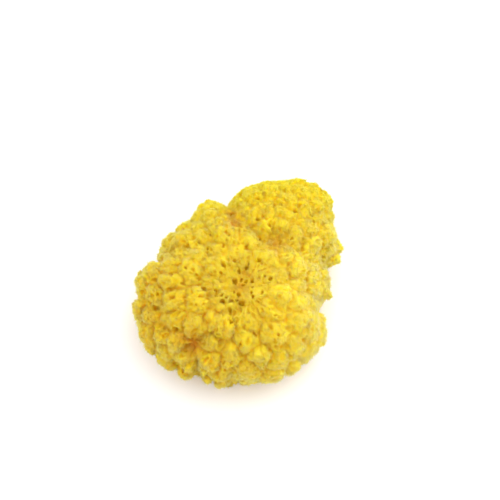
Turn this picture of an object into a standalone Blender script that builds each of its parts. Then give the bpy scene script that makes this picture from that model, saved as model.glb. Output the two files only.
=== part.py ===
"""A natural bath sponge: one two-lobed cushion of tufts, cut flat where it grew on the sea bed.

Units are metres and +Z is up. The sponge rests on its flat cut at Z = 0, with the origin in the
middle of its outer box there. Its long way runs from the front left to the back right.
"""

import math
import random

import bmesh
import bpy
from mathutils import Matrix, Vector, kdtree, noise

MM = 0.001

# The plain mass under the tufts, whose middle stands off the origin
MIDDLE = Vector((0.9, 4.0, 19.0)) * MM
DOME_RISE = 29.0 * MM
SKIRT_DROP = 33.0 * MM
SHOULDER = 2.3
# Outer reach of the tufts at the waist, every 15 degrees from +X, anticlockwise seen from above
OUTER_REACH = [
    reach * MM
    for reach in (
        45, 57, 57, 64, 58, 52, 45, 41, 43, 40, 43, 44,
        46, 59, 61, 62, 63, 61, 59, 60, 58, 58, 50, 48,
    )
]

# The shallow valley between the front lobe and the back right lobe, seen from above
VALLEY = [Vector((x, y)) * MM for x, y in ((-6, 43), (0, 23), (12, 13), (28, 11), (54, 5))]
VALLEY_DEPTH = 4.5 * MM
VALLEY_WIDTH = 5.5 * MM
# The share of that depth that the valley keeps where it runs down the sides
VALLEY_SIDE_SHARE = 0.5

# Single dips, seen from above: where the middle lies, how deep it is and how far it spreads
CROWN = Vector((1.0, -12.5)) * MM
DIPS = [
    (CROWN, 3.0 * MM, 11.0 * MM),
    (Vector((-53.0, -15.0)) * MM, 5.0 * MM, 4.0 * MM),
    (Vector((-20.0, -55.0)) * MM, 5.0 * MM, 3.5 * MM),
    (Vector((-3.0, -57.0)) * MM, 3.0 * MM, 3.0 * MM),
    (Vector((-14.0, 9.5)) * MM, 2.5 * MM, 4.0 * MM),
    (Vector((-2.0, 26.0)) * MM, 2.5 * MM, 4.0 * MM),
    (Vector((-20.0, -39.0)) * MM, 2.5 * MM, 4.5 * MM),
]

# Tufts
TUFT_SEED = 3
TUFT_HEIGHT = 6.5 * MM
TUFT_UNEVENNESS = 0.25
TUFT_SPACING_FRONT = 8.6 * MM
TUFT_SPACING_BACK = 6.8 * MM
# The spacing changes from one to the other over this stretch of Y
SPACING_START = -40.0 * MM
SPACING_END = 40.0 * MM
SPACING_SPREAD = 0.2
SPACING_PATCH = 18.0 * MM
TUFT_SQUARENESS = 2.6
SITE_DETAIL = 6
# The tufts stand lower round the crown
CROWN_TUFT_SHARE = 0.4
CROWN_SPREAD = 17.0 * MM
# How far noise bends the grooves between tufts, over what length
WANDER = 1.6 * MM
WANDER_LENGTH = 9.0 * MM
NOISE_STEPS = (0.0, 31.7, 67.3)
# The small knobs on each tuft
KNOB_LENGTH = 2.6 * MM
KNOB_HEIGHT = 0.5 * MM

# The large pores of the crown: X, Y and radius
PORES = [
    (Vector((x, y)) * MM, radius * MM)
    for x, y, radius in (
        (1.0, -6.0, 1.4),
        (5.5, -4.5, 1.3),
        (-1.5, -10.5, 1.6),
        (3.5, -9.5, 1.7),
        (8.5, -10.0, 1.4),
        (8.0, -18.0, 1.5),
        (0.0, -16.5, 1.4),
        (-7.0, -20.0, 1.5),
        (-3.0, -20.5, 1.4),
        (2.0, -21.5, 1.8),
        (-3.5, -25.5, 1.5),
    )
]
PORE_DEPTH = 8.0 * MM
PORE_LEAN = Vector((0.0, -0.3, 1.0)).normalized()

# Canals that open on the cut
CANAL_SEED = 11
CANAL_COUNT = 16
CANAL_RADIUS = 1.9 * MM
CANAL_SPREAD = 0.3
CANAL_DEPTH = 6.0 * MM
CANAL_FIELD = 36.0 * MM
CANAL_JITTER = 2.0 * MM
CLEAR_MIDDLE = 9.0 * MM
GOLDEN_ANGLE = math.pi * (3.0 - math.sqrt(5.0))

# Pores and canals alike
HOLE_SIDES = 7
HOLE_TAPER = 0.6

# Mesh fineness
SKIN_DETAIL = 7
FACE_SHARE = 0.125
CUTTER_SIZE = 200.0 * MM


def reach_at(angle):
    """The outer reach in one direction, read smoothly between the listed ones."""
    count = len(OUTER_REACH)
    place = (angle / math.tau) % 1.0 * count
    index = int(place)
    share = place - index
    before, low, high, after = (OUTER_REACH[(index + step) % count] for step in (-1, 0, 1, 2))
    bend = (2 * before - 5 * low + 4 * high - after) * share
    twist = (3 * low - 3 * high + after - before) * share * share
    return low + 0.5 * share * (high - before + bend + twist)


def mass_point(direction):
    """The point of the plain mass that lies in one direction from its middle."""
    flat = math.hypot(direction.x, direction.y)
    side = reach_at(math.atan2(direction.y, direction.x)) - TUFT_HEIGHT
    rise = DOME_RISE if direction.z > 0 else SKIRT_DROP
    radius = ((flat / side) ** SHOULDER + (abs(direction.z) / rise) ** SHOULDER) ** (-1 / SHOULDER)
    return MIDDLE + direction * radius


def distance_to_valley(plan):
    """The distance in plan from a point to the valley's line."""
    found = []
    for start, end in zip(VALLEY, VALLEY[1:]):
        along = end - start
        share = max(0.0, min(1.0, (plan - start).dot(along) / along.length_squared))
        found.append((plan - start - along * share).length)
    return min(found)


def fade(distance, width):
    """One at no distance, falling smoothly to nothing past the width."""
    return math.exp(-((distance / width) ** 2))


def dip_depth(point, outward):
    """How far the valley and the dips lower the surface at a point of the mass."""
    plan = point.to_2d()
    on_top = max(0.0, outward.z)
    share = VALLEY_SIDE_SHARE + (1.0 - VALLEY_SIDE_SHARE) * on_top
    depth = share * VALLEY_DEPTH * fade(distance_to_valley(plan), VALLEY_WIDTH)
    for place, dip, width in DIPS:
        depth += dip * fade((plan - place).length, width)
    return depth


def noise_shift(point):
    """Three readings of one noise, far apart, as a vector."""
    return Vector([noise.noise(point + Vector((0.0, 0.0, step))) for step in NOISE_STEPS])


def tuft_spacing(point):
    """Tufts stand further apart at the front than at the back, and in some patches than others."""
    back = max(0.0, min(1.0, (point.y - SPACING_START) / (SPACING_END - SPACING_START)))
    spacing = TUFT_SPACING_FRONT + (TUFT_SPACING_BACK - TUFT_SPACING_FRONT) * back
    return spacing * (1.0 + SPACING_SPREAD * noise.noise(point / SPACING_PATCH))


def mass_ball(detail):
    """The plain mass as a closed mesh, the finer the higher the detail."""
    mesh = bmesh.new()
    bmesh.ops.create_icosphere(mesh, subdivisions=detail, radius=1.0)
    for vertex in mesh.verts:
        vertex.co = mass_point(vertex.co.normalized())
    mesh.normal_update()
    return mesh


def tuft_sites():
    """The foot of every tuft, no two nearer than their spacing, with its share of full height."""
    mesh = mass_ball(SITE_DETAIL)
    places = [vertex.co.copy() for vertex in mesh.verts]
    mesh.free()
    dice = random.Random(TUFT_SEED)
    dice.shuffle(places)
    feet = []
    for place in places:
        spacing = tuft_spacing(place)
        if all((place - foot).length > spacing for foot in feet):
            feet.append(place)
    tree = kdtree.KDTree(len(feet))
    for index, foot in enumerate(feet):
        tree.insert(foot, index)
    tree.balance()
    heights = [1.0 + dice.uniform(-TUFT_UNEVENNESS, TUFT_UNEVENNESS) for _ in feet]
    return tree, heights


def tuft_height(point, outward, tree, heights):
    """The height of the tufts over the mass: each is a cap that ends in a groove."""
    bent = point + noise_shift(point / WANDER_LENGTH) * WANDER
    (_, index, near), (_, _, far) = tree.find_n(bent, 2)
    cap = 1.0 - (near / far) ** TUFT_SQUARENESS
    crown = max(0.0, outward.z) * fade((point.to_2d() - CROWN).length, CROWN_SPREAD)
    height = TUFT_HEIGHT * heights[index] * (1.0 - (1.0 - CROWN_TUFT_SHARE) * crown)
    return cap * (height + KNOB_HEIGHT * noise.noise(point / KNOB_LENGTH))


def tufted_ball(detail):
    """The whole surface of the uncut sponge as a closed mesh."""
    mesh = mass_ball(detail)
    tree, heights = tuft_sites()
    outwards = [vertex.normal.copy() for vertex in mesh.verts]
    for vertex, outward in zip(mesh.verts, outwards):
        height = tuft_height(vertex.co, outward, tree, heights)
        vertex.co += outward * (height - dip_depth(vertex.co, outward))
    return mesh


def object_of(name, mesh):
    """A scene object that holds a finished bmesh."""
    data = bpy.data.meshes.new(name)
    mesh.to_mesh(data)
    mesh.free()
    data.shade_smooth()
    made = bpy.data.objects.new(name, data)
    bpy.context.scene.collection.objects.link(made)
    return made


def cutter_of(name, mesh):
    """A hidden object that only cuts another."""
    cutter = object_of(name, mesh)
    cutter.hide_render = True
    cutter.display_type = "WIRE"
    return cutter


def ground_cutter():
    """A block below Z = 0 that cuts the sponge off flat."""
    mesh = bmesh.new()
    below = Matrix.Translation((0.0, 0.0, -CUTTER_SIZE / 2))
    bmesh.ops.create_cube(mesh, size=CUTTER_SIZE, matrix=below)
    return cutter_of("ground_cutter", mesh)


def add_hole(mesh, mouth, outward, radius, depth):
    """One tapered hole, as deep as it stands out of the surface at its mouth."""
    turn = outward.to_track_quat("Z", "Y").to_matrix().to_4x4()
    bmesh.ops.create_cone(
        mesh,
        cap_ends=True,
        segments=HOLE_SIDES,
        radius1=radius * HOLE_TAPER,
        radius2=radius,
        depth=2 * depth,
        matrix=Matrix.Translation(mouth) @ turn,
    )


def pore_cutter():
    """The large pores of the crown."""
    mesh = bmesh.new()
    for place, radius in PORES:
        mouth = Vector((place.x, place.y, MIDDLE.z + DOME_RISE))
        add_hole(mesh, mouth, PORE_LEAN, radius, PORE_DEPTH)
    return cutter_of("pore_cutter", mesh)


def canal_cutter():
    """The canals on the cut, spread like a sunflower's seeds outside the clear middle."""
    mesh = bmesh.new()
    dice = random.Random(CANAL_SEED)
    for index in range(CANAL_COUNT):
        share = (index + 0.5) / CANAL_COUNT
        reach = math.sqrt(CLEAR_MIDDLE**2 + share * (CANAL_FIELD**2 - CLEAR_MIDDLE**2))
        turn = Matrix.Rotation(index * GOLDEN_ANGLE, 3, "Z")
        mouth = turn @ Vector((reach + dice.uniform(0.0, CANAL_JITTER), 0.0, 0.0))
        radius = CANAL_RADIUS * (1.0 + dice.uniform(-CANAL_SPREAD, CANAL_SPREAD))
        add_hole(mesh, mouth, Vector((0.0, 0.0, -1.0)), radius, CANAL_DEPTH)
    return cutter_of("canal_cutter", mesh)


def add_cut(sponge, name, cutter):
    """Takes the cutter's shape out of the sponge."""
    cut = sponge.modifiers.new(name, "BOOLEAN")
    cut.operation = "DIFFERENCE"
    cut.object = cutter


def sponge_material():
    """Dry yellow spongin."""
    material = bpy.data.materials.new("yellow_spongin")
    material.use_nodes = True
    shader = material.node_tree.nodes["Principled BSDF"]
    shader.inputs["Base Color"].default_value = (0.80, 0.56, 0.05, 1.0)
    shader.inputs["Roughness"].default_value = 0.95
    shader.inputs["Metallic"].default_value = 0.0
    return material


def main():
    """Builds the sponge, one solid."""
    for old in list(bpy.data.objects):
        bpy.data.objects.remove(old)
    sponge = object_of("sponge", tufted_ball(SKIN_DETAIL))
    sponge.data.materials.append(sponge_material())
    fewer = sponge.modifiers.new("fewer_faces", "DECIMATE")
    fewer.ratio = FACE_SHARE
    add_cut(sponge, "flat_cut", ground_cutter())
    add_cut(sponge, "pores", pore_cutter())
    add_cut(sponge, "canals", canal_cutter())


if __name__ == "__main__":
    main()
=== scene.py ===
"""The finish of a dry natural bath sponge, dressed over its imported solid.

The flesh grows by the solid's rules, with its outline fitted closer to the photograph's and
shallower grooves. Its tufts are broken up into florets and a net of small pores, with large pores
on the crown and between the tufts, and canals on the flat cut. Four coats of spongin fibres, which
lean together in points, give it its woolly skin and edge.
"""

import enum
import itertools
import logging
import math
import random
from collections import defaultdict
from collections.abc import Callable, Iterable
from dataclasses import dataclass, field

import bmesh
import bpy
import numpy as np
from mathutils import Matrix, Vector, kdtree, noise


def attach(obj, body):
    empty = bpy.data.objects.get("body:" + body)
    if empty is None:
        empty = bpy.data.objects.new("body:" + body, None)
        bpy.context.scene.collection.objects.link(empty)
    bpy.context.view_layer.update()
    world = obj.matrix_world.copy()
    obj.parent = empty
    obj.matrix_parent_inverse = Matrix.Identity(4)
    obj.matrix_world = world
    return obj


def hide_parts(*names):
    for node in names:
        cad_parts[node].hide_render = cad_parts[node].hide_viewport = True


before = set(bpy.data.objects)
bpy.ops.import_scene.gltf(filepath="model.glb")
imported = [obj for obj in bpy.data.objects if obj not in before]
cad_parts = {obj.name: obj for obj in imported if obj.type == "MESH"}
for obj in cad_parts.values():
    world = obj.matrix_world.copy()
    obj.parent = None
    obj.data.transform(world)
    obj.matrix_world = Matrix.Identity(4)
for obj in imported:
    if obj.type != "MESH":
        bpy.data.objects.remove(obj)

MM = 0.001
NODE = "sponge"
BODY = "root"
# What each vertex tells its finish: its height, darkened in the tufts' grooves, how deep in a pore it
# lies, and how stained it is; the first two drive painted shade
LAYERS = ("rise", "pit", "stain")
# How high the flat cut counts for its finish, and how much less the bottom of a canal does, which
# paints shade in the canals
CUT_RISE = 0.6
CANAL_FALL = 0.5

Colour = tuple[float, float, float]
log = logging.getLogger("sponge")


def mm(*lengths: float) -> Vector:
    """Lengths in millimetres, as a vector in metres."""
    return Vector(lengths) * MM


def clamp(value: float) -> float:
    """The value, held between 0 and 1."""
    return max(0.0, min(1.0, value))


def fade(distance: float, width: float, steepness: int = 2) -> float:
    """One at no distance, falling smoothly to nothing past the width.

    Args:
        distance: How far off the middle the place is.
        width: How far the effect reaches.
        steepness: An even power. The higher it is, the flatter the middle and the steeper the edge.

    Returns:
        A share from 0 to 1.
    """
    return math.exp(-((distance / width) ** steepness))


def noise_shift(point: Vector, steps: Iterable[float] = (0.0, 31.7, 67.3)) -> Vector:
    """Three readings of one noise, far apart.

    Args:
        point: Where the noise is read, in the noise's own units.
        steps: How far along Z each reading stands off the point.

    Returns:
        The three readings as a vector.
    """
    return Vector([noise.noise(point + Vector((0.0, 0.0, step))) for step in steps])


def scatter(places: list[Vector], spacing: Callable[[Vector], float], widest: float) -> list[Vector]:
    """Thins out places so that no two stand too near each other.

    Args:
        places: The places on offer, in the order in which they are tried.
        spacing: The least distance from a place to those kept before it.
        widest: The largest value of spacing, used as the size of the search cells.

    Returns:
        The places kept.
    """
    cells: dict[tuple[int, ...], list[Vector]] = defaultdict(list)
    steps = list(itertools.product((-1, 0, 1), repeat=3))
    kept = []
    for place in places:
        cell = tuple(int(part // widest) for part in place)
        around = [tuple(map(sum, zip(cell, step))) for step in steps]
        near = [other for key in around if key in cells for other in cells[key]]
        least = spacing(place)
        if all((place - other).length > least for other in near):
            cells[cell].append(place)
            kept.append(place)
    return kept


def tree_of(points: Iterable[Vector]) -> kdtree.KDTree:
    """A search tree over points, numbered in their order."""
    points = list(points)
    tree = kdtree.KDTree(len(points))
    for index, point in enumerate(points):
        tree.insert(point, index)
    tree.balance()
    return tree


class Sites:
    """The middles of tufts, florets or small pores, each with its share of full height or depth."""

    def __init__(
        self,
        places: list[Vector],
        seed: int,
        spacing: Callable[[Vector], float],
        widest: float,
        unevenness: float,
    ) -> None:
        """Spreads the feet over the places on offer.

        Args:
            places: The places on offer.
            seed: The seed of the random order and heights.
            spacing: The least distance at a place.
            widest: The largest such distance.
            unevenness: How much the heights differ, as a share.
        """
        dice = random.Random(seed)
        dice.shuffle(places)
        self.feet = scatter(places, spacing, widest)
        self.heights = [1.0 + dice.uniform(-unevenness, unevenness) for _ in self.feet]
        self.tree = tree_of(self.feet)

    def read(self, point: Vector, squareness: float) -> tuple[float, float, float]:
        """How a point stands among the feet around it.

        Args:
            point: A point of the surface.
            squareness: The higher it is, the flatter the tops and the narrower the grooves.

        Returns:
            How high it stands, from 0 in the groove to 1 on top, the full height of the nearest
            foot as a share, and how near the point lies to a corner where three meet, up to 1.
        """
        (_, index, near), (_, _, far), (_, _, third) = self.tree.find_n(point, 3)
        return 1.0 - (near / far) ** squareness, self.heights[index], near / third


class Pits:
    """Round pits, seen from above."""

    def __init__(self, pits: list[tuple[Vector, float]]) -> None:
        """Keeps the middle and radius of each pit."""
        self.radii = [radius for _, radius in pits]
        self.tree = tree_of(place.to_3d() for place, _ in pits)

    def share(self, plan: Vector) -> tuple[float, float]:
        """How deep a place lies in the nearest pit, from 0 outside to 1 inside, and its radius."""
        _, index, distance = self.tree.find(plan.to_3d())
        return fade(distance, self.radii[index], 6), self.radii[index]


@dataclass
class SpongeForm:
    """The outer form: the solid's mass, valley and tufts, with reaches, dips and pores of its own."""

    middle: Vector = field(default_factory=lambda: mm(0.9, 4.0, 19.0))
    dome_rise: float = 29.0 * MM
    skirt_drop: float = 33.0 * MM
    shoulder: float = 2.3
    # Reach of the tufts at the waist in millimetres, every 15 degrees from +X, anticlockwise
    outer_reach: tuple[float, ...] = (
        48.5, 55.5, 57, 64, 57, 50, 43, 39.5, 42.5, 39, 41, 45,
        45.5, 60, 61.5, 63, 63, 62, 61, 61.5, 61, 60, 47.5, 48,
    )
    valley: tuple[tuple[float, float], ...] = ((-6, 43), (0, 23), (12, 13), (28, 11), (54, 5))
    valley_depth: float = 4.5 * MM
    valley_width: float = 5.5 * MM
    valley_side_share: float = 0.5
    crown: Vector = field(default_factory=lambda: mm(1.0, -12.5))
    # X, Y, depth and width of each dip, in millimetres
    dips: tuple[tuple[float, ...], ...] = (
        (1.0, -12.5, 3.0, 11.0),
        (-51.0, -11.0, 12.0, 2.9),
        (-20.0, -48.5, 8.5, 2.3),
        (-2.9, -51.4, 4.5, 2.5),
        (-14.0, 9.5, 2.5, 4.0),
        (-2.0, 26.0, 2.5, 4.0),
        (-20.0, -39.0, 2.5, 4.5),
        (-24.0, 34.0, 2.2, 20.0),
    )
    tuft_seed: int = 3
    tuft_height: float = 6.5 * MM
    tuft_unevenness: float = 0.25
    dressed_tuft: float = 5.7 * MM
    # How much of a tuft's height its grooves keep: least of all at the front left
    groove_least: float = 0.28
    groove_most: float = 0.58
    groove_slant: float = 0.7
    groove_start: float = -62.0 * MM
    groove_span: float = 62.0 * MM
    spacing_front: float = 8.6 * MM
    spacing_back: float = 6.8 * MM
    spacing_start: float = -40.0 * MM
    spacing_end: float = 40.0 * MM
    spacing_spread: float = 0.2
    spacing_patch: float = 18.0 * MM
    tuft_squareness: float = 2.2
    site_detail: int = 6
    crown_tuft_share: float = 0.4
    crown_spread: float = 17.0 * MM
    wander: float = 2.2 * MM
    wander_length: float = 6.5 * MM
    # X, Y and radius of each large pore, in millimetres: those of the crown, then the others
    pores: tuple[tuple[float, float, float], ...] = (
        (5.8, -2.6, 0.8), (4.9, -4.4, 1.1), (1.2, -6.1, 1.1), (-6.5, -3.5, 1.2), (-7.8, -6.9, 0.8),
        (-1.2, -11.1, 1.6), (2.4, -10.1, 0.9), (4.7, -10.9, 0.9), (3.3, -12.7, 0.9),
        (7.9, -10.7, 1.1), (7.7, -14.5, 0.7), (7.3, -17.3, 1.0), (8.1, -19.5, 1.0),
        (-1.3, -16.4, 0.8), (0.8, -17.8, 1.1), (-0.1, -20.3, 0.7), (-2.6, -21.2, 1.1),
        (-6.9, -22.0, 1.5), (-7.5, -18.7, 0.8), (-5.3, -19.3, 0.7), (-10.5, -19.1, 0.8),
        (-10.9, -15.9, 1.0), (2.6, -22.2, 1.7), (-3.6, -25.7, 1.4), (17.1, -10.2, 1.0),
        (14.0, -8.7, 0.8), (11.2, -0.8, 1.1), (-1.4, -0.8, 1.0), (12.6, -17.2, 0.9),
        (-2.9, 27.4, 1.1), (10.8, 33.5, 0.8), (16.4, 18.1, 1.0), (10.5, 21.6, 1.0), (29.4, 27.2, 0.8),
        (37.9, 26.6, 0.9), (31.9, 10.9, 0.8), (27.7, 12.5, 0.7), (11.6, 11.7, 1.0),
        (4.1, 15.0, 0.9), (-4.1, 12.0, 0.8), (-14.9, 6.3, 0.8), (-13.6, 14.2, 0.8),
        (-25.9, -4.6, 0.9), (-31.6, 6.9, 0.7), (-40.2, -16.1, 0.8), (-34.2, -17.1, 0.8),
        (-20.2, -24.0, 0.7), (-2.5, -31.7, 0.8), (19.2, -28.6, 0.7), (20.7, -37.8, 0.8),
        (1.5, -42.4, 0.8), (-10.2, -38.1, 0.7), (-31.1, -33.1, 0.7), (-6.6, -49.8, 0.8),
        (-27.5, -49.9, 0.7),
    )
    pore_wander: float = 0.7 * MM
    pore_wander_length: float = 1.6 * MM
    # X, Y, Z and height of each long point at the edge, in millimetres
    points: tuple[tuple[float, float, float, float], ...] = (
        (54.5, 16.5, 22.0, 1.2),
        (53.5, 8.8, 22.0, 1.6),
        (49.0, -11.0, 22.0, 2.6),
        (47.5, -22.0, 22.0, 1.8),
    )
    point_slope: float = 11.0 * MM
    point_width: float = 5.5 * MM
    # Canals that open on the cut
    canal_seed: int = 11
    canal_count: int = 16
    canal_radius: float = 1.9 * MM
    canal_spread: float = 0.3
    canal_depth: float = 5.0 * MM
    # How much the cut is drawn in, as a share, under the mass's lowest point
    draw_in: float = 0.1
    canal_field: float = 36.0 * MM
    canal_jitter: float = 2.0 * MM
    clear_middle: float = 9.0 * MM

    def __post_init__(self) -> None:
        """Works out the lists that are read for every point."""
        self.valley_line = [mm(*place) for place in self.valley]
        self.dip_list = [(mm(x, y), depth * MM, width * MM) for x, y, depth, width in self.dips]
        self.point_list = [(mm(x, y, z), height * MM) for x, y, z, height in self.points]
        self.pore_field = Pits([(mm(x, y), radius * MM) for x, y, radius in self.pores])
        self.canals = Pits(self.canal_places())
        mesh = self.mass_ball(self.site_detail)
        places = [vertex.co.copy() for vertex in mesh.verts]
        mesh.free()
        widest = self.spacing_front * (1.0 + self.spacing_spread)
        self.tufts = Sites(
            places, self.tuft_seed, self.tuft_spacing, widest, self.tuft_unevenness
        )

    def reach_at(self, angle: float) -> float:
        """The outer reach in one direction, read smoothly between the listed ones.

        Args:
            angle: Radians from +X, anticlockwise seen from above.

        Returns:
            Metres from the middle.
        """
        count = len(self.outer_reach)
        place = (angle / math.tau) % 1.0 * count
        index = int(place)
        share = place - index
        before, low, high, after = (
            self.outer_reach[(index + step) % count] for step in (-1, 0, 1, 2)
        )
        bend = (2 * before - 5 * low + 4 * high - after) * share
        twist = (3 * low - 3 * high + after - before) * share * share
        return (low + 0.5 * share * (high - before + bend + twist)) * MM

    def mass_point(self, direction: Vector) -> Vector:
        """The point of the plain mass that lies in one direction from its middle."""
        flat = math.hypot(direction.x, direction.y)
        side = self.reach_at(math.atan2(direction.y, direction.x)) - self.tuft_height
        rise = self.dome_rise if direction.z > 0 else self.skirt_drop
        total = (flat / side) ** self.shoulder + (abs(direction.z) / rise) ** self.shoulder
        return self.middle + direction * total ** (-1 / self.shoulder)

    def mass_ball(self, detail: int) -> bmesh.types.BMesh:
        """The plain mass as a closed mesh, the finer the higher the detail."""
        mesh = bmesh.new()
        bmesh.ops.create_icosphere(mesh, subdivisions=detail, radius=1.0)
        for vertex in mesh.verts:
            vertex.co = self.mass_point(vertex.co.normalized())
        mesh.normal_update()
        return mesh

    def distance_to_valley(self, plan: Vector) -> float:
        """The distance in plan from a point to the valley's line."""
        found = []
        for start, end in itertools.pairwise(self.valley_line):
            along = end - start
            share = clamp((plan - start).dot(along) / along.length_squared)
            found.append((plan - start - along * share).length)
        return min(found)

    def dip_depth(self, point: Vector, outward: Vector) -> float:
        """How far the valley and the dips lower the surface.

        Args:
            point: A point of the plain mass.
            outward: The mass's normal there.

        Returns:
            The depth in metres.
        """
        plan = point.to_2d()
        share = self.valley_side_share + (1.0 - self.valley_side_share) * max(0.0, outward.z)
        depth = share * self.valley_depth * fade(self.distance_to_valley(plan), self.valley_width)
        for place, dip, width in self.dip_list:
            depth += dip * fade((plan - place).length, width)
        return depth

    def back_share(self, point: Vector) -> float:
        """How far back a place lies, from 0 at the front to 1 at the back."""
        return clamp((point.y - self.spacing_start) / (self.spacing_end - self.spacing_start))

    def tuft_spacing(self, point: Vector) -> float:
        """Tufts stand further apart at the front than at the back, and in some patches."""
        change = self.spacing_back - self.spacing_front
        spacing = self.spacing_front + change * self.back_share(point)
        return spacing * (1.0 + self.spacing_spread * noise.noise(point / self.spacing_patch))

    def groove_share(self, point: Vector) -> float:
        """How much of a tuft's height the grooves round a place keep."""
        away = point.y + self.groove_slant * point.x - self.groove_start
        gain = self.groove_most - self.groove_least
        return self.groove_least + gain * clamp(away / self.groove_span)

    def canal_places(self) -> list[tuple[Vector, float]]:
        """The middle and radius of each canal on the cut, spread like a sunflower's seeds."""
        dice = random.Random(self.canal_seed)
        golden_angle = math.pi * (3.0 - math.sqrt(5.0))
        places = []
        for index in range(self.canal_count):
            share = (index + 0.5) / self.canal_count
            span = self.canal_field**2 - self.clear_middle**2
            reach = math.sqrt(self.clear_middle**2 + share * span)
            turn = Matrix.Rotation(index * golden_angle, 3, "Z")
            place = turn @ Vector((reach + dice.uniform(0.0, self.canal_jitter), 0.0, 0.0))
            radius = self.canal_radius * (1.0 + dice.uniform(-self.canal_spread, self.canal_spread))
            places.append((place.to_2d(), radius))
        return places

    def shaken(self, point: Vector) -> Vector:
        """The point in plan, shifted a little, so that round pits come out uneven."""
        return (point + noise_shift(point / self.pore_wander_length) * self.pore_wander).to_2d()

    def point_height(self, point: Vector, outward: Vector) -> float:
        """How far a long point at the edge raises the surface.

        Args:
            point: A point of the plain mass.
            outward: The mass's normal there.

        Returns:
            The height in metres.
        """
        raised = 0.0
        for place, height in self.point_list:
            gap = place - point
            along = gap.dot(outward)
            aside = (gap - outward * along).length
            if along > 0.0:
                full = (height + self.tuft_height) * fade(aside, self.point_width, 6)
                raised = max(raised, full * (1.0 - aside / self.point_slope))
        return raised

    def relief(self, point: Vector, outward: Vector) -> tuple[float, float]:
        """The tufted surface over one point of the plain mass.

        Args:
            point: A point of the plain mass.
            outward: The mass's normal there.

        Returns:
            The height over the mass in metres, and how high the point stands on its tuft.
        """
        bent = point + noise_shift(point / self.wander_length) * self.wander
        cap, full, _ = self.tufts.read(bent, self.tuft_squareness)
        crown = max(0.0, outward.z) * fade((point.to_2d() - self.crown).length, self.crown_spread)
        height = self.dressed_tuft * full * (1.0 - (1.0 - self.crown_tuft_share) * crown)
        groove = self.groove_share(point)
        height *= groove + (1.0 - groove) * cap
        height -= self.dip_depth(point, outward)
        return max(height, self.point_height(point, outward)), cap


class TuftedSurface:
    """The tufted surface before its skin breaks it up, and what is known of each of its points."""

    def __init__(self, form: SpongeForm, detail: int) -> None:
        """Raises every vertex of a fine ball to the tufts, and presses the cut flat.

        Args:
            form: The form to follow.
            detail: The fineness of the ball.
        """
        self.mesh = form.mass_ball(detail)
        outwards = [vertex.normal.copy() for vertex in self.mesh.verts]
        caps = []
        for vertex, outward in zip(self.mesh.verts, outwards):
            height, cap = form.relief(vertex.co, outward)
            vertex.co += outward * height
            caps.append(cap)
        self.caps = np.array(caps)
        self.canals = np.zeros(len(caps))
        self.flatten_cut(form)
        self.tree = tree_of(vertex.co for vertex in self.mesh.verts)

    def flatten_cut(self, form: SpongeForm) -> None:
        """Presses what lies below Z = 0 flat, draws it in a little and sinks the canals in it."""
        lowest = form.middle.z - form.skirt_drop
        for vertex in self.mesh.verts:
            if vertex.co.z >= 0.0:
                continue
            draw = 1.0 - form.draw_in * vertex.co.z / lowest
            vertex.co.x = form.middle.x + (vertex.co.x - form.middle.x) * draw
            vertex.co.y = form.middle.y + (vertex.co.y - form.middle.y) * draw
            vertex.co.z = 0.0
            pit, _ = form.canals.share(form.shaken(vertex.co))
            vertex.co.z = form.canal_depth * pit
            self.caps[vertex.index] = CUT_RISE - CANAL_FALL * pit
            self.canals[vertex.index] = pit


def reshaped(mesh: bmesh.types.BMesh, kind: str, settings: dict) -> bmesh.types.BMesh:
    """Puts a mesh through one modifier.

    Args:
        mesh: The mesh, which is freed.
        kind: The modifier's type.
        settings: Its properties.

    Returns:
        The new mesh.
    """
    data = bpy.data.meshes.new("reshaped")
    mesh.to_mesh(data)
    mesh.free()
    piece = bpy.data.objects.new("reshaped", data)
    bpy.context.scene.collection.objects.link(piece)
    modifier = piece.modifiers.new("reshape", kind)
    for name, setting in settings.items():
        setattr(modifier, name, setting)
    graph = bpy.context.evaluated_depsgraph_get()
    new = bmesh.new()
    new.from_mesh(piece.evaluated_get(graph).data)
    bpy.data.objects.remove(piece)
    bpy.data.meshes.remove(data)
    return new


def object_of(name: str, data: bpy.types.Mesh) -> bpy.types.Object:
    """A scene object at the origin that holds a mesh, shaded smooth."""
    data.shade_smooth()
    made = bpy.data.objects.new(name, data)
    bpy.context.scene.collection.objects.link(made)
    return made


def write_layers(data: bpy.types.Mesh, layers: dict[str, np.ndarray]) -> None:
    """Stores a number a vertex under each name, for the finish to read."""
    for name, layer in layers.items():
        attribute = data.attributes.new(name, "FLOAT", "POINT")
        attribute.data.foreach_set("value", layer.astype(np.float32))


def declare(piece: bpy.types.Object) -> None:
    """Hangs a piece on the sponge's one body."""
    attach(piece, BODY)


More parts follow.
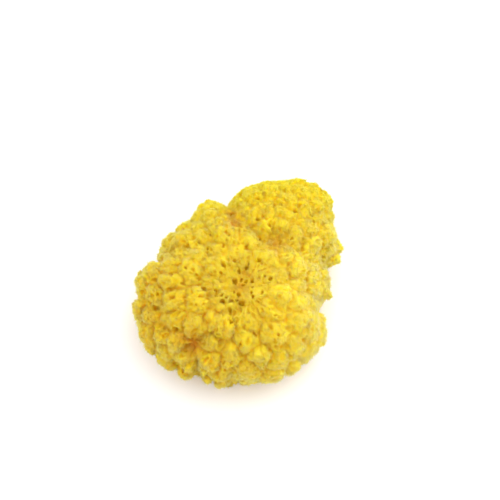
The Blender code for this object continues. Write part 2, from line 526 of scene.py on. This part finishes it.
@dataclass
class Skin:
    """The skin of the tufts: low florets, and a net of ridges round small pores, with points."""

    form: SpongeForm
    floret_seed: int = 5
    floret_front: float = 5.2 * MM
    floret_back: float = 3.8 * MM
    floret_height: float = 1.05 * MM
    floret_squareness: float = 2.2
    # The share of full height at which a floret neither raises nor lowers the surface
    floret_base: float = 0.7
    unevenness: float = 0.5
    # The net: one small pore in each of its cells
    pore_seed: int = 8
    pore_front: float = 2.5 * MM
    pore_back: float = 2.0 * MM
    pore_depth: float = 0.22 * MM
    pore_unevenness: float = 0.8
    pore_squareness: float = 1.7
    # The higher it is, the fewer of the small pores are deep
    pore_power: int = 4
    wander: float = 0.8 * MM
    wander_length: float = 2.2 * MM
    point_height: float = 0.45 * MM
    point_start: float = 0.75
    level: float = 0.2 * MM
    grain_height: float = 0.25 * MM
    grain_length: float = 1.3 * MM
    # Florets grow long towards the crown, within this reach of it and most of all at the front
    ray_reach: float = 45.0 * MM
    ray_share: float = 0.25
    ray_share_front: float = 0.5
    least_radius: float = 6.5 * MM
    calm_radius: float = 10.0 * MM
    calm_share: float = 0.75
    # The strength of the relief, and how it falls off to the right
    rough_left: float = 0.85
    rough_right: float = 0.6
    rough_start: float = -12.0 * MM
    rough_span: float = 34.0 * MM
    # How quickly spacing goes from its front value to its back value
    back_gain: float = 1.6
    # How many times as deep as its radius a large pore is, and how far up it has to face
    large_pore_depth: float = 1.6
    large_pore_facing: float = 0.2
    # What the finish reads for painted shade and lighter tops: the shares of floret, point and small
    # pore in the height
    floret_share: float = 0.4
    point_share: float = 0.1
    pore_share: float = 0.7
    pore_gain: float = 0.25
    # Only the deepest small pores get the dark brown of painted shade
    pit_shade_share: float = 0.5
    pit_shade_gain: float = 0.2
    pit_shade_start: float = 0.3

    def grow(self, mesh: bmesh.types.BMesh, lowest: float) -> tuple[list[float], list[float]]:
        """Breaks up the surface of a mesh. On its flat cut only the pores open.

        Args:
            mesh: The mesh.
            lowest: The height below which a vertex belongs to the cut.

        Returns:
            How high each vertex stands and how deep it lies in a pore, both from 0 to 1.
        """
        spots = [self.drawn_in(vertex.co) for vertex in mesh.verts]
        outwards = [vertex.normal.copy() for vertex in mesh.verts]
        florets = Sites(
            list(spots), self.floret_seed, self.floret_spacing, self.floret_front, self.unevenness
        )
        pores = Sites(
            list(spots), self.pore_seed, self.pore_spacing, self.pore_front, self.pore_unevenness
        )
        rises, pits = [], []
        for vertex, spot, outward in zip(mesh.verts, spots, outwards):
            bent = spot + noise_shift(spot / self.wander_length) * self.wander
            cap, full, _ = florets.read(bent, self.floret_squareness)
            pore, deep, corner = pores.read(bent, self.pore_squareness)
            pit = pore * deep**self.pore_power
            if vertex.co.z <= lowest:
                vertex.co.z += self.pore_depth * pit
                rises.append(CUT_RISE)
                pits.append(pit)
                continue
            rough = self.rough_share(vertex.co)
            point = clamp((corner - self.point_start) / (1.0 - self.point_start)) ** 2
            height = self.floret_height * (full * cap - self.floret_base) - self.pore_depth * pit
            height = rough * (height + self.point_height * point) + self.level
            height += self.grain_height * noise.noise(vertex.co / self.grain_length)
            large, radius = self.form.pore_field.share(self.form.shaken(vertex.co))
            if outward.z < self.large_pore_facing:
                large = 0.0
            # Painted shade and light: the finish paints florets' grooves and small pores darker,
            # florets' tops and points lighter
            rise = 1.0 - self.floret_share + self.floret_share * cap
            rise *= 1.0 - self.pore_share * clamp(self.pore_gain * rough * pit)
            rises.append((rise + self.point_share * point) * (1.0 - large))
            # Painted shade: the deepest small pores and the large pores are marked for a dark brown
            brown = self.pit_shade_share * clamp(self.pit_shade_gain * rough * pit - self.pit_shade_start)
            pits.append(max(brown, large))
            vertex.co += outward * height
            vertex.co.z -= self.large_pore_depth * radius * large
            vertex.co.z = max(vertex.co.z, 0.0)
        return rises, pits

    def rough_share(self, point: Vector) -> float:
        """The strength of the relief: the skin is smoother to the right and on the crown."""
        share = clamp((point.x - self.rough_start) / self.rough_span)
        rough = self.rough_left + (self.rough_right - self.rough_left) * share
        return rough * (1.0 - self.calm_share * self.crown_share(point))

    def crown_share(self, point: Vector) -> float:
        """One in the middle of the crown, falling to nothing at its rim."""
        if point.z < self.form.middle.z:
            return 0.0
        return fade((point.to_2d() - self.form.crown).length, self.calm_radius, 4)

    def drawn_in(self, point: Vector) -> Vector:
        """The point as its skin is laid out, which makes long rays round the crown."""
        aside = point.to_2d() - self.form.crown
        reach = max(aside.length, self.least_radius)
        if point.z < self.form.middle.z or reach > self.ray_reach:
            return point.copy()
        front = 0.5 - 0.5 * aside.y / reach
        power = self.ray_share + (self.ray_share_front - self.ray_share) * front
        drawn = self.form.crown + aside * (self.ray_reach / reach) ** power
        return Vector((drawn.x, drawn.y, point.z))

    def floret_spacing(self, point: Vector) -> float:
        """Florets stand further apart at the front than at the back."""
        change = self.floret_back - self.floret_front
        return self.floret_front + change * clamp(self.back_gain * self.form.back_share(point))

    def pore_spacing(self, point: Vector) -> float:
        """Pores too stand further apart at the front than at the back."""
        change = self.pore_back - self.pore_front
        return self.pore_front + change * clamp(self.back_gain * self.form.back_share(point))


@dataclass
class SpongeBody:
    """The sponge's own flesh, one closed mesh."""

    form: SpongeForm
    skin: Skin
    ball_detail: int = 8
    voxel: float = 0.48 * MM
    smoothing: float = 0.5
    most_triangles: int = 190000
    # The edges of the crown's faces are halved wherever its share is higher than this
    crown_rim: float = 0.001
    # How much the tufts' grooves darken the finish, and how wide that reaches
    tuft_shade: float = 0.55
    tuft_shade_power: float = 0.6
    # X, Y, radius in millimetres and strength of each brown stain
    stains: tuple[tuple[float, ...], ...] = (
        (-2.9, 27.0, 3.2, 1.0),
        (-1.8, 21.0, 4.4, 0.95),
        (-22.0, -40.0, 4.2, 1.0),
        (-27.0, -38.0, 3.0, 0.5),
        (2.0, -12.8, 4.2, 0.7),
        (5.5, -7.5, 4.5, 0.35),
        (1.0, -20.0, 4.5, 0.3),
        (19.3, 9.0, 4.5, 0.75),
        (2.0, 16.5, 4.5, 0.35),
    )

    def build(self) -> bpy.types.Object:
        """Builds the body and writes what its finish reads as attributes.

        Returns:
            The body's object.
        """
        tufted = TuftedSurface(self.form, self.ball_detail)
        settings = {"mode": "VOXEL", "voxel_size": self.voxel}
        mesh = reshaped(tufted.mesh, "REMESH", settings)
        self.soften(mesh)
        self.refine_crown(mesh)
        nearest = [tufted.tree.find(vertex.co)[1] for vertex in mesh.verts]
        rises, pits = self.skin.grow(mesh, self.voxel)
        shade = self.tuft_shade * (1.0 - tufted.caps[nearest] ** self.tuft_shade_power)
        rises = np.array(rises) * (1.0 - shade)
        pits = np.maximum(np.array(pits), tufted.canals[nearest])
        known = tree_of(vertex.co for vertex in mesh.verts)
        triangles = 2 * len(mesh.faces)
        ratio = min(1.0, self.most_triangles / triangles)
        mesh = reshaped(mesh, "DECIMATE", {"decimate_type": "COLLAPSE", "ratio": ratio})
        data = bpy.data.meshes.new("sponge_body")
        self.write_attributes(mesh, data, known, {"rise": rises, "pit": pits})
        log.info("even mesh: %d triangles, kept %d", triangles, len(mesh.faces))
        mesh.free()
        body = object_of("sponge_body", data)
        declare(body)
        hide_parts(NODE)
        return body

    def refine_crown(self, mesh: bmesh.types.BMesh) -> None:
        """Halves the edges of the crown's faces, so that its pores come out sharp."""
        edges = [
            edge
            for edge in mesh.edges
            if all(self.skin.crown_share(vertex.co) > self.crown_rim for vertex in edge.verts)
        ]
        bmesh.ops.subdivide_edges(mesh, edges=edges, cuts=1, use_grid_fill=True)
        mesh.normal_update()

    def soften(self, mesh: bmesh.types.BMesh) -> None:
        """Evens out the steps that the remesh leaves."""
        bmesh.ops.smooth_vert(
            mesh,
            verts=mesh.verts,
            factor=self.smoothing,
            use_axis_x=True,
            use_axis_y=True,
            use_axis_z=True,
        )
        mesh.normal_update()

    def write_attributes(
        self,
        mesh: bmesh.types.BMesh,
        data: bpy.types.Mesh,
        known: kdtree.KDTree,
        layers: dict[str, np.ndarray],
    ) -> None:
        """Stores how high, how deep in a pit and how stained each vertex is.

        Args:
            mesh: The finished mesh.
            data: The mesh data that takes it and its attributes.
            known: The points at which the layers are known.
            layers: The values at those points, by name.
        """
        nearest = [known.find(vertex.co)[1] for vertex in mesh.verts]
        stained = [self.stain_at(vertex.co.to_2d(), vertex.normal) for vertex in mesh.verts]
        mesh.to_mesh(data)
        values = {name: layer[nearest] for name, layer in layers.items()}
        write_layers(data, values | {"stain": np.array(stained)})

    def stain_at(self, plan: Vector, normal: Vector) -> float:
        """How stained a place on the upper side is, from 0 to 1."""
        if normal.z < 0.0:
            return 0.0
        found = 0.0
        for x, y, radius, strength in self.stains:
            found = max(found, strength * fade((plan - mm(x, y)).length, radius * MM))
        return found


class Quarter(enum.Enum):
    """The four coats of fibres, by the side of the sponge that they cover."""

    RIGHT = 0
    BACK = 1
    LEFT = 2
    FRONT = 3

    @classmethod
    def of(cls, points: np.ndarray) -> np.ndarray:
        """The number of the quarter that each point lies in, seen from above."""
        angles = np.arctan2(points[:, 1], points[:, 0])
        return np.floor((angles + math.pi / 4) / (math.pi / 2)).astype(int) % len(cls)


@dataclass
class Roots:
    """Where fibres grow: arrays with one row a fibre."""

    points: np.ndarray
    normals: np.ndarray
    leans: np.ndarray
    layers: dict[str, np.ndarray]


@dataclass
class FibreCoat:
    """The spongin fibres of the skin: hairs that meet in points, and loops that cross like a net."""

    seed: int = 21
    hair_count: int = 70000
    hair_length: float = 1.3 * MM
    hair_radius: float = 0.12 * MM
    loop_count: int = 14000
    loop_span: float = 2.4 * MM
    loop_height: float = 0.4 * MM
    loop_radius: float = 0.10 * MM
    sink: float = 0.12 * MM
    lean: float = 0.9
    stray: float = 0.3
    # The least and largest share of each measure above. A bow is a share of its loop's span
    hair_lengths: tuple[float, float] = (0.5, 1.5)
    hair_radii: tuple[float, float] = (0.7, 1.2)
    loop_spans: tuple[float, float] = (0.5, 1.4)
    loop_heights: tuple[float, float] = (0.4, 1.3)
    loop_bows: tuple[float, float] = (-0.2, 0.2)
    loop_radii: tuple[float, float] = (0.6, 1.3)
    # A loop's shape: its half span at the feet and at the top, and how deep its feet are
    loop_foot: float = 0.5
    loop_top: float = 0.22
    loop_sink: float = 0.3
    loop_first_bow: float = 0.8
    # How thickly fibres stand in the grooves, and how quickly they stop in the pores
    groove_density: float = 0.15
    pore_clearing: float = 2.0
    # Hairs lean towards the skin's highest vertices, less so when these are nearer than the reach
    tip_count: int = 9000
    tip_start: float = 0.7
    lean_reach: float = 0.5 * MM
    clear_of_cut: float = 0.8 * MM
    sides: int = 3

    def build(self, piece: bpy.types.Object) -> list[bpy.types.Object]:
        """Grows the coats on the finished body.

        Args:
            piece: The body's object.

        Returns:
            One object a quarter.
        """
        self.dice = np.random.default_rng(self.seed)
        hair_roots = self.roots(piece, self.hair_count)
        loop_roots = self.roots(piece, self.loop_count)
        kinds = [
            (*self.hairs(hair_roots), hair_roots.layers),
            (*self.loops(loop_roots), loop_roots.layers),
        ]
        return [self.coat(quarter, kinds) for quarter in Quarter]

    def roots(self, piece: bpy.types.Object, count: int) -> Roots:
        """Chooses places on the body at random, fewer in its grooves and none on the cut.

        Args:
            piece: The body's object.
            count: How many fibres are wanted.

        Returns:
            The places, their normals, the way to the nearest point of the skin, and what the
            finish reads there.
        """
        data = piece.data
        data.calc_loop_triangles()
        corners = np.empty(len(data.loop_triangles) * 3, np.int32)
        data.loop_triangles.foreach_get("vertices", corners)
        corners = corners.reshape(-1, 3)
        points = np.empty(len(data.vertices) * 3)
        data.vertices.foreach_get("co", points)
        points = points.reshape(-1, 3)
        layers = {}
        for name in LAYERS:
            layers[name] = np.empty(len(data.vertices))
            data.attributes[name].data.foreach_get("value", layers[name])
        a, b, c = (points[corners[:, step]] for step in range(3))
        across = np.cross(b - a, c - a)
        area = np.linalg.norm(across, axis=1)
        means = {name: layer[corners].mean(axis=1) for name, layer in layers.items()}
        weight = area * (self.groove_density + (1.0 - self.groove_density) * means["rise"])
        weight *= np.clip(1.0 - self.pore_clearing * means["pit"], 0.0, 1.0)
        weight *= a[:, 2] > self.clear_of_cut
        chosen = self.dice.choice(len(corners), size=count, p=weight / weight.sum())
        u, v = self.dice.random((2, count, 1))
        u, v = np.where(u + v > 1, 1 - u, u), np.where(u + v > 1, 1 - v, v)
        placed = a[chosen] + u * (b - a)[chosen] + v * (c - a)[chosen]
        normals = across[chosen] / area[chosen, None]
        leans = self.tips_near(points, layers["rise"], placed) - placed
        leans -= normals * (leans * normals).sum(axis=1, keepdims=True)
        length = np.linalg.norm(leans, axis=1, keepdims=True)
        grown = {name: mean[chosen] for name, mean in means.items()}
        return Roots(placed, normals, leans / np.maximum(length, self.lean_reach), grown)

    def tips_near(self, points: np.ndarray, rises: np.ndarray, placed: np.ndarray) -> np.ndarray:
        """The nearest point of the skin for each fibre, chosen among its highest vertices.

        Args:
            points: All vertices.
            rises: How high each stands.
            placed: Where the fibres grow.

        Returns:
            One tip a fibre.
        """
        weight = np.clip(rises - self.tip_start, 0.0, 1.0) ** 2
        weight *= points[:, 2] > self.clear_of_cut
        chosen = self.dice.choice(len(points), self.tip_count, False, weight / weight.sum())
        tree = tree_of(Vector(point) for point in points[chosen])
        return np.array([tree.find(place)[0] for place in placed])

    def spread(self, count: int, limits: tuple[float, float]) -> np.ndarray:
        """Random factors, one a fibre, as a column."""
        return self.dice.uniform(*limits, (count, 1))

    def sideways(self, normals: np.ndarray) -> np.ndarray:
        """A random unit vector square to each normal."""
        loose = self.dice.normal(size=normals.shape)
        loose -= normals * (loose * normals).sum(axis=1, keepdims=True)
        return loose / np.linalg.norm(loose, axis=1, keepdims=True)

    def hairs(self, roots: Roots) -> tuple[np.ndarray, np.ndarray]:
        """Short hairs that lean together in points.

        Args:
            roots: Where they grow.

        Returns:
            The middle of each ring, hair by hair, and its radius. The last ring is a point.
        """
        count = len(roots.points)
        length = self.hair_length * self.spread(count, self.hair_lengths)
        out = roots.normals + self.lean * roots.leans + self.stray * self.sideways(roots.normals)
        out /= np.linalg.norm(out, axis=1, keepdims=True)
        start = roots.points - roots.normals * self.sink
        radius = self.hair_radius * self.spread(count, self.hair_radii)
        rings = np.stack([start, start + out * length], axis=1)
        return rings, radius * np.array([[1.0, 0.0]])

    def loops(self, roots: Roots) -> tuple[np.ndarray, np.ndarray]:
        """Low loops with both feet in the body.

        Args:
            roots: Where their tops stand.

        Returns:
            The middle of each ring, loop by loop, and its radius.
        """
        count = len(roots.points)
        span = self.loop_span * self.spread(count, self.loop_spans)
        height = self.loop_height * self.spread(count, self.loop_heights)
        along = self.sideways(roots.normals)
        across = np.cross(roots.normals, along)
        bow = across * span * self.spread(count, self.loop_bows)
        low = roots.points - roots.normals * (self.sink + self.loop_sink * height)
        high = roots.points + roots.normals * height
        rings = np.stack(
            [
                low - along * span * self.loop_foot,
                high - along * span * self.loop_top + bow * self.loop_first_bow,
                high + along * span * self.loop_top + bow,
                low + along * span * self.loop_foot,
            ],
            axis=1,
        )
        radius = self.loop_radius * self.spread(count, self.loop_radii)
        return rings, radius * np.array([[1.0, 0.9, 0.9, 1.0]])

    def tubes(self, rings: np.ndarray, radii: np.ndarray) -> tuple[np.ndarray, np.ndarray]:
        """Closed tubes round rows of ring middles, which end in a point where the radius is 0.

        Args:
            rings: The middle of each ring, tube by tube.
            radii: The radius of each ring, tube by tube.

        Returns:
            The vertices, and the triangles as rows of vertex numbers.
        """
        tubes, count, _ = rings.shape
        along = np.gradient(rings, axis=1)
        along /= np.linalg.norm(along, axis=2, keepdims=True)
        first = np.cross(along, self.dice.normal(size=(tubes, 1, 3)))
        first /= np.linalg.norm(first, axis=2, keepdims=True)
        second = np.cross(along, first)
        turns = np.arange(self.sides) * math.tau / self.sides
        ring = first[:, :, None] * np.cos(turns)[:, None] + second[:, :, None] * np.sin(turns)[:, None]
        points = (rings[:, :, None] + radii[:, :, None, None] * ring).reshape(tubes, -1, 3)
        here = np.arange(self.sides)
        there = np.roll(here, -1)
        faces = [here[None, ::-1]]
        full = count
        if not radii[0, -1]:
            full = count - 1
            tip = np.full(self.sides, full * self.sides)
            points = points[:, : full * self.sides + 1]
            low = (full - 1) * self.sides
            faces.append(np.stack([low + here, low + there, tip], axis=1))
        else:
            faces.append(here[None] + (count - 1) * self.sides)
        for step in range(full - 1):
            low, high = step * self.sides, (step + 1) * self.sides
            faces.append(np.stack([low + here, low + there, high + there], axis=1))
            faces.append(np.stack([low + here, high + there, high + here], axis=1))
        offsets = np.arange(tubes)[:, None, None] * points.shape[1]
        return points.reshape(-1, 3), (np.concatenate(faces)[None] + offsets).reshape(-1, 3)

    def coat(
        self, quarter: Quarter, kinds: list[tuple[np.ndarray, np.ndarray, dict[str, np.ndarray]]]
    ) -> bpy.types.Object:
        """The fibres of one quarter, joined in one mesh.

        Args:
            quarter: The quarter that they cover.
            kinds: Rings, radii and layers of all hairs, and of all loops.

        Returns:
            The coat's object.
        """
        points, faces = [], []
        grown = {name: [] for name in LAYERS}
        offset = 0
        for rings, radii, layers in kinds:
            mine = Quarter.of(rings[:, 0]) == quarter.value
            some_points, some_faces = self.tubes(rings[mine], radii[mine])
            points.append(some_points)
            faces.append(some_faces + offset)
            offset += len(some_points)
            for name, layer in layers.items():
                grown[name].append(np.repeat(layer[mine], len(some_points) // mine.sum()))
        points, faces = np.concatenate(points), np.concatenate(faces)
        points[:, 2] = np.maximum(points[:, 2], 0.0)
        data = bpy.data.meshes.new(f"fibres_{quarter.name.lower()}")
        data.vertices.add(len(points))
        data.vertices.foreach_set("co", points.ravel())
        data.loops.add(faces.size)
        data.loops.foreach_set("vertex_index", faces.ravel())
        data.polygons.add(len(faces))
        data.polygons.foreach_set("loop_start", np.arange(0, faces.size, 3))
        data.update(calc_edges=True)
        write_layers(data, {name: np.concatenate(parts) for name, parts in grown.items()})
        piece = object_of(data.name, data)
        declare(piece)
        return piece


class Value:
    """A shader socket that takes part in Python sums."""

    def __init__(self, finish: "Finish", socket: bpy.types.NodeSocket) -> None:
        """Wraps an output socket of one of the finish's nodes."""
        self.finish = finish
        self.socket = socket

    def math(self, operation: str, first: "Value | float", second: "Value | float") -> "Value":
        """Adds one Math node.

        Args:
            operation: The node's operation.
            first: Its first operand.
            second: Its second operand.

        Returns:
            The node's result.
        """
        settings = {"operation": operation}
        return self.finish.value("ShaderNodeMath", settings, {0: first, 1: second}, 0)

    def __add__(self, other: "Value | float") -> "Value":
        """Sum."""
        return self.math("ADD", self, other)

    __radd__ = __add__

    def __sub__(self, other: "Value | float") -> "Value":
        """Difference."""
        return self.math("SUBTRACT", self, other)

    def __rsub__(self, other: "Value | float") -> "Value":
        """Difference, the other way round."""
        return self.math("SUBTRACT", other, self)

    def __mul__(self, other: "Value | float") -> "Value":
        """Product."""
        return self.math("MULTIPLY", self, other)

    __rmul__ = __mul__


class Finish:
    """A material that is built node by node."""

    def __init__(self, name: str) -> None:
        """Starts from a plain Principled BSDF."""
        self.material = bpy.data.materials.new(name)
        self.material.use_nodes = True
        self.tree = self.material.node_tree
        self.shader = self.tree.nodes["Principled BSDF"]

    def value(self, kind: str, settings: dict, inputs: dict, output: int | str) -> Value:
        """Makes one node.

        Args:
            kind: The node's type.
            settings: Its properties, set first. Stops are a ramp's places and colours.
            inputs: A number, colour or Value for each of its sockets, by name or number.
            output: The output that is wanted.

        Returns:
            That output.
        """
        node = self.tree.nodes.new(kind)
        for name, setting in settings.items():
            if name == "stops":
                self.set_stops(node.color_ramp, setting)
            else:
                setattr(node, name, setting)
        for name, given in inputs.items():
            self.feed(node.inputs[name], given)
        return Value(self, node.outputs[output])

    def set_stops(self, ramp: bpy.types.ColorRamp, stops: dict[float, Colour]) -> None:
        """Puts a ramp's stops at the given places."""
        while len(ramp.elements) < len(stops):
            ramp.elements.new(1.0)
        for element, (place, colour) in zip(ramp.elements, stops.items()):
            element.position = place
            element.color = (*colour, 1.0)

    def feed(self, socket: bpy.types.NodeSocket, given: "Value | float | Colour") -> None:
        """Links or sets one input socket."""
        if isinstance(given, Value):
            self.tree.links.new(given.socket, socket)
        elif socket.type == "RGBA":
            socket.default_value = (*given, 1.0)
        else:
            socket.default_value = given

    def set_shader(self, inputs: dict) -> None:
        """Sets or links sockets of the Principled BSDF by name."""
        for name, given in inputs.items():
            self.feed(self.shader.inputs[name], given)

    def place(self) -> Value:
        """The object's own coordinates."""
        return self.value("ShaderNodeTexCoord", {}, {}, "Object")

    def attribute(self, name: str) -> Value:
        """An attribute of the mesh, as a number."""
        return self.value("ShaderNodeAttribute", {"attribute_name": name}, {}, "Fac")

    def along(self, axis: str) -> Value:
        """How far along one of the object's own axes a point lies, in metres."""
        return self.value("ShaderNodeSeparateXYZ", {}, {"Vector": self.place()}, axis)

    def noise(self, length: float, detail: float = 2.0) -> Value:
        """Noise from 0 to 1 whose lumps are about one length across, in metres."""
        inputs = {"Vector": self.place(), "Scale": 1.0 / length, "Detail": detail}
        return self.value("ShaderNodeTexNoise", {}, inputs, "Fac")

    def cells(self, length: float) -> Value:
        """The distance to the nearest of cells about one length across, in cells."""
        inputs = {"Vector": self.place(), "Scale": 1.0 / length}
        return self.value("ShaderNodeTexVoronoi", {}, inputs, "Distance")

    def ramp(self, factor: Value, stops: dict[float, Colour]) -> Value:
        """A colour for each value of a factor."""
        return self.value("ShaderNodeValToRGB", {"stops": stops}, {"Fac": factor}, "Color")

    def mix(self, factor: Value | float, first: Value | Colour, second: Value | Colour) -> Value:
        """Goes from the first colour to the second as the factor goes from 0 to 1."""
        settings = {"data_type": "RGBA", "clamp_factor": True}
        return self.value("ShaderNodeMix", settings, {0: factor, 6: first, 7: second}, 2)

    def bump(self, height: Value, strength: float, distance: float) -> Value:
        """A normal that is bent by a height."""
        inputs = {"Strength": strength, "Distance": distance, "Height": height}
        return self.value("ShaderNodeBump", {}, inputs, "Normal")


@dataclass(frozen=True)
class SponginFinish:
    """Spongin's yellow, with painted shade: golden in the grooves and brown in the large pores, clear
    yellow on the tufts.
    """

    name: str
    # A ramp of painted shade: darker and more golden low in the grooves and pores, lighter on the tips
    groove: Colour = (0.835, 0.58, 0.016)
    slope: Colour = (0.89, 0.635, 0.020)
    flank: Colour = (0.905, 0.675, 0.027)
    tip: Colour = (0.91, 0.705, 0.040)
    # Painted shade: a dark brown for the large pores, the deepest small pores and the canals
    painted_pit_shade: Colour = (0.61, 0.37, 0.003)
    stain_brown: Colour = (0.64, 0.235, 0.013)
    # Partly the sponge's own browner tone, partly painted shade, on the lower left front and the foot
    amber_and_shade: Colour = (0.79, 0.49, 0.018)
    # Painted light: paler where the lights fall, to the right, the back and the top
    pale: Colour = (0.885, 0.72, 0.056)
    # Painted shade: a deeper yellow on the back, which holds down the sky's sheen there
    golden: Colour = (0.84, 0.595, 0.009)
    patch: float = 14.0 * MM
    patch_share: float = 1.4
    # Painted light: how much paler the sponge grows with each metre to the right, to the back and up,
    # with painted shade the other way
    painted_light_right: float = 10.0
    painted_light_back: float = 5.0
    painted_light_up: float = 9.0
    painted_light_start: float = -0.45
    # Painted shade: how much more golden it grows with each metre to the back
    painted_shade_back: float = 24.0
    painted_shade_start: float = 0.0
    # Painted shade: how far up from the cut the foot turns browner and darker
    foot_height: float = 7.0 * MM
    cell: float = 0.9 * MM
    cell_share: float = 0.05
    fleck: float = 0.5 * MM
    fleck_share: float = 0.15
    fleck_height: float = 0.8
    bump_strength: float = 0.4
    bump_distance: float = 0.3 * MM
    glow_depth: float = 10.0 * MM

    def build(self) -> bpy.types.Material:
        """Builds the material.

        Returns:
            The material.
        """
        finish = Finish(self.name)
        cells = finish.cells(self.cell)
        flecks = finish.noise(self.fleck)
        # Painted shade: darker low in grooves, pores and the cells' edges, lighter on the tops
        rise = finish.attribute("rise") + (flecks - 0.5) * self.fleck_share
        rise = rise - cells * self.cell_share
        stops = {0.0: self.groove, 0.25: self.slope, 0.55: self.flank, 0.95: self.tip}
        colour = finish.ramp(rise, stops)
        # Painted light to the right, back and top; painted shade with a browner own tone on the lower
        # left front
        side = finish.along("X") * self.painted_light_right + finish.along("Y") * self.painted_light_back
        side = side + finish.along("Z") * self.painted_light_up + self.painted_light_start
        side = side + (finish.noise(self.patch) - 0.5) * self.patch_share
        colour = finish.mix(side, colour, self.pale)
        colour = finish.mix(side * -1.0, colour, self.amber_and_shade)
        # Painted shade: a deeper yellow towards the back
        back = finish.along("Y") * self.painted_shade_back + self.painted_shade_start
        colour = finish.mix(back, colour, self.golden)
        # Painted shade: browner and darker near the floor
        foot_shade = 1.0 - finish.along("Z") * (1.0 / self.foot_height)
        colour = finish.mix(foot_shade, colour, self.amber_and_shade)
        colour = finish.mix(finish.attribute("stain"), colour, self.stain_brown)
        # Painted shade: dark brown in the large pores, the deepest small pores and the canals
        colour = finish.mix(finish.attribute("pit"), colour, self.painted_pit_shade)
        height = flecks * self.fleck_height - cells
        finish.set_shader(
            {
                "Base Color": colour,
                "Roughness": 0.9,
                "Specular IOR Level": 0.1,
                "Subsurface Weight": 1.0,
                "Subsurface Radius": (1.0, 0.7, 0.15),
                "Subsurface Scale": self.glow_depth,
                "Normal": finish.bump(height, self.bump_strength, self.bump_distance),
            }
        )
        return finish.material


FLESH = SponginFinish("spongin_flesh")
# The fibres' ramp too paints shade: darker low down, lighter on the tops
FIBRE = SponginFinish(
    "spongin_fibre",
    groove=(0.865, 0.60, 0.020),
    slope=(0.905, 0.655, 0.024),
    flank=(0.91, 0.685, 0.028),
    tip=(0.915, 0.715, 0.040),
    bump_strength=0.2,
    glow_depth=6.0 * MM,
)


@dataclass
class Studio:
    """The pale floor, the soft light and the camera."""

    floor_size: float = 4.0
    floor_drop: float = 0.1 * MM
    floor_grey: float = 0.95
    sky_strength: float = 1.19
    # Where each soft light stands, its width and its power
    lights: tuple[tuple[Colour, float, float], ...] = (
        ((0.5, 0.4, 0.75), 1.0, 5.0),
        ((-0.6, 0.3, 0.8), 1.0, 1.5),
    )
    elevation: float = math.radians(70.0)
    millimetres_a_pixel: float = 0.519
    picture_width: int = 500
    lens: float = 100.0
    sensor: float = 36.0
    aim_height: float = 25.0 * MM
    # How far aside of the sponge's middle the camera looks, to the right and up in the picture
    offset_right: float = 6.6 * MM
    offset_up: float = 13.0 * MM

    def build(self) -> None:
        """Sets up floor, light and camera."""
        self.add_floor()
        self.add_sky()
        for place, width, power in self.lights:
            self.add_light(Vector(place), width, power)
        self.add_camera()
        bpy.context.scene.view_settings.view_transform = "Standard"

    def add_floor(self) -> None:
        """A wide pale floor that the sponge rests on."""
        mesh = bmesh.new()
        place = Matrix.Translation((0.0, 0.0, -self.floor_drop))
        bmesh.ops.create_grid(mesh, x_segments=1, y_segments=1, size=self.floor_size / 2, matrix=place)
        data = bpy.data.meshes.new("floor")
        mesh.to_mesh(data)
        mesh.free()
        floor = object_of("floor", data)
        finish = Finish("pale_floor")
        finish.set_shader({"Base Color": (self.floor_grey,) * 3, "Roughness": 0.9})
        data.materials.append(finish.material)

    def add_sky(self) -> None:
        """Even white light from all round."""
        world = bpy.data.worlds.new("white_room")
        world.use_nodes = True
        background = world.node_tree.nodes["Background"]
        background.inputs["Color"].default_value = (1.0, 1.0, 1.0, 1.0)
        background.inputs["Strength"].default_value = self.sky_strength
        bpy.context.scene.world = world

    def add_light(self, place: Vector, width: float, power: float) -> None:
        """One soft square light that faces the sponge.

        Args:
            place: Where it stands.
            width: Its side.
            power: Its power in watts.
        """
        data = bpy.data.lights.new("soft_light", "AREA")
        data.size = width
        data.energy = power
        light = bpy.data.objects.new("soft_light", data)
        light.location = place
        light.rotation_euler = place.to_track_quat("Z", "Y").to_euler()
        bpy.context.scene.collection.objects.link(light)

    def add_camera(self) -> None:
        """The camera at the photograph's angle and scale."""
        data = bpy.data.cameras.new("camera")
        data.lens = self.lens
        data.sensor_width = self.sensor
        distance = self.picture_width * self.millimetres_a_pixel * MM * self.lens / self.sensor
        back = Vector((0.0, -math.cos(self.elevation), math.sin(self.elevation)))
        up = Vector((0.0, math.sin(self.elevation), math.cos(self.elevation)))
        camera = bpy.data.objects.new("camera", data)
        aim = Vector((self.offset_right, 0.0, self.aim_height)) + up * self.offset_up
        camera.location = aim + back * distance
        camera.rotation_euler = back.to_track_quat("Z", "Y").to_euler()
        bpy.context.scene.collection.objects.link(camera)
        bpy.context.scene.camera = camera


def main() -> None:
    """Builds every piece in order."""
    logging.basicConfig(level=logging.INFO, format="%(message)s")
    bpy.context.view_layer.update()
    form = SpongeForm()
    flesh = SpongeBody(form, Skin(form)).build()
    flesh.data.materials.append(FLESH.build())
    log.info("%s: %d faces", flesh.name, len(flesh.data.polygons))
    fibre = FIBRE.build()
    for coat in FibreCoat().build(flesh):
        coat.data.materials.append(fibre)
        log.info("%s: %d faces", coat.name, len(coat.data.polygons))
    Studio().build()


if __name__ == "__main__":
    main()
